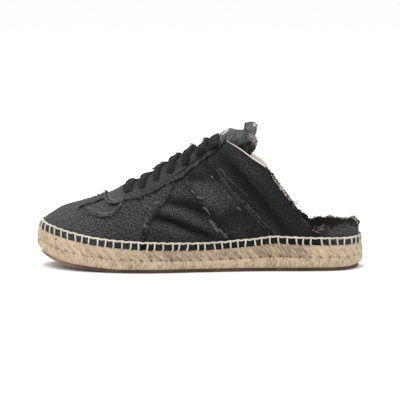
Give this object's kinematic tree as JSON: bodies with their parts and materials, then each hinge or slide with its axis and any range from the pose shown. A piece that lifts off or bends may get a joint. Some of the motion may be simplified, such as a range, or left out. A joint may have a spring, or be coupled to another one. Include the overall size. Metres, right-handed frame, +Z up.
{
  "type": "slip-on sneaker",
  "caption": "Backless lace-front cloth sneaker, left foot, with a hollow frayed-edge upper on a braided jute sole with a thin rubber outsole.",
  "frame": {"origin": "on the floor, under the middle of the shoe's outline", "axes": "toe towards -X, heel towards +X, lateral side towards -Y, medial side towards +Y, +Z up"},
  "size_m": [0.2858, 0.102, 0.1256],
  "materials": {
    "outsole_rubber": "matt brown crepe-like rubber",
    "jute_braid": "braided natural jute",
    "lining_cloth": "plain cream cotton",
    "upper_canvas": "washed charcoal twill canvas",
    "tongue_canvas": "washed grey canvas",
    "overlay_canvas": "washed charcoal canvas with a raw edge",
    "eyestay_canvas": "washed charcoal canvas with a raw edge",
    "patch_canvas": "faded grey canvas with a raw edge",
    "lace_cloth": "flat black cotton lace"
  },
  "bodies": {
    "root": {"outsole": "outsole_rubber", "jute_sole": "jute_braid", "insole": "lining_cloth", "upper": "upper_canvas", "tongue": "tongue_canvas", "toe_overlay": "overlay_canvas", "eyestay": "eyestay_canvas", "side_patch_lateral": "patch_canvas", "side_patch_medial": "patch_canvas", "lace": "lace_cloth"}
  },
  "joints": []
}
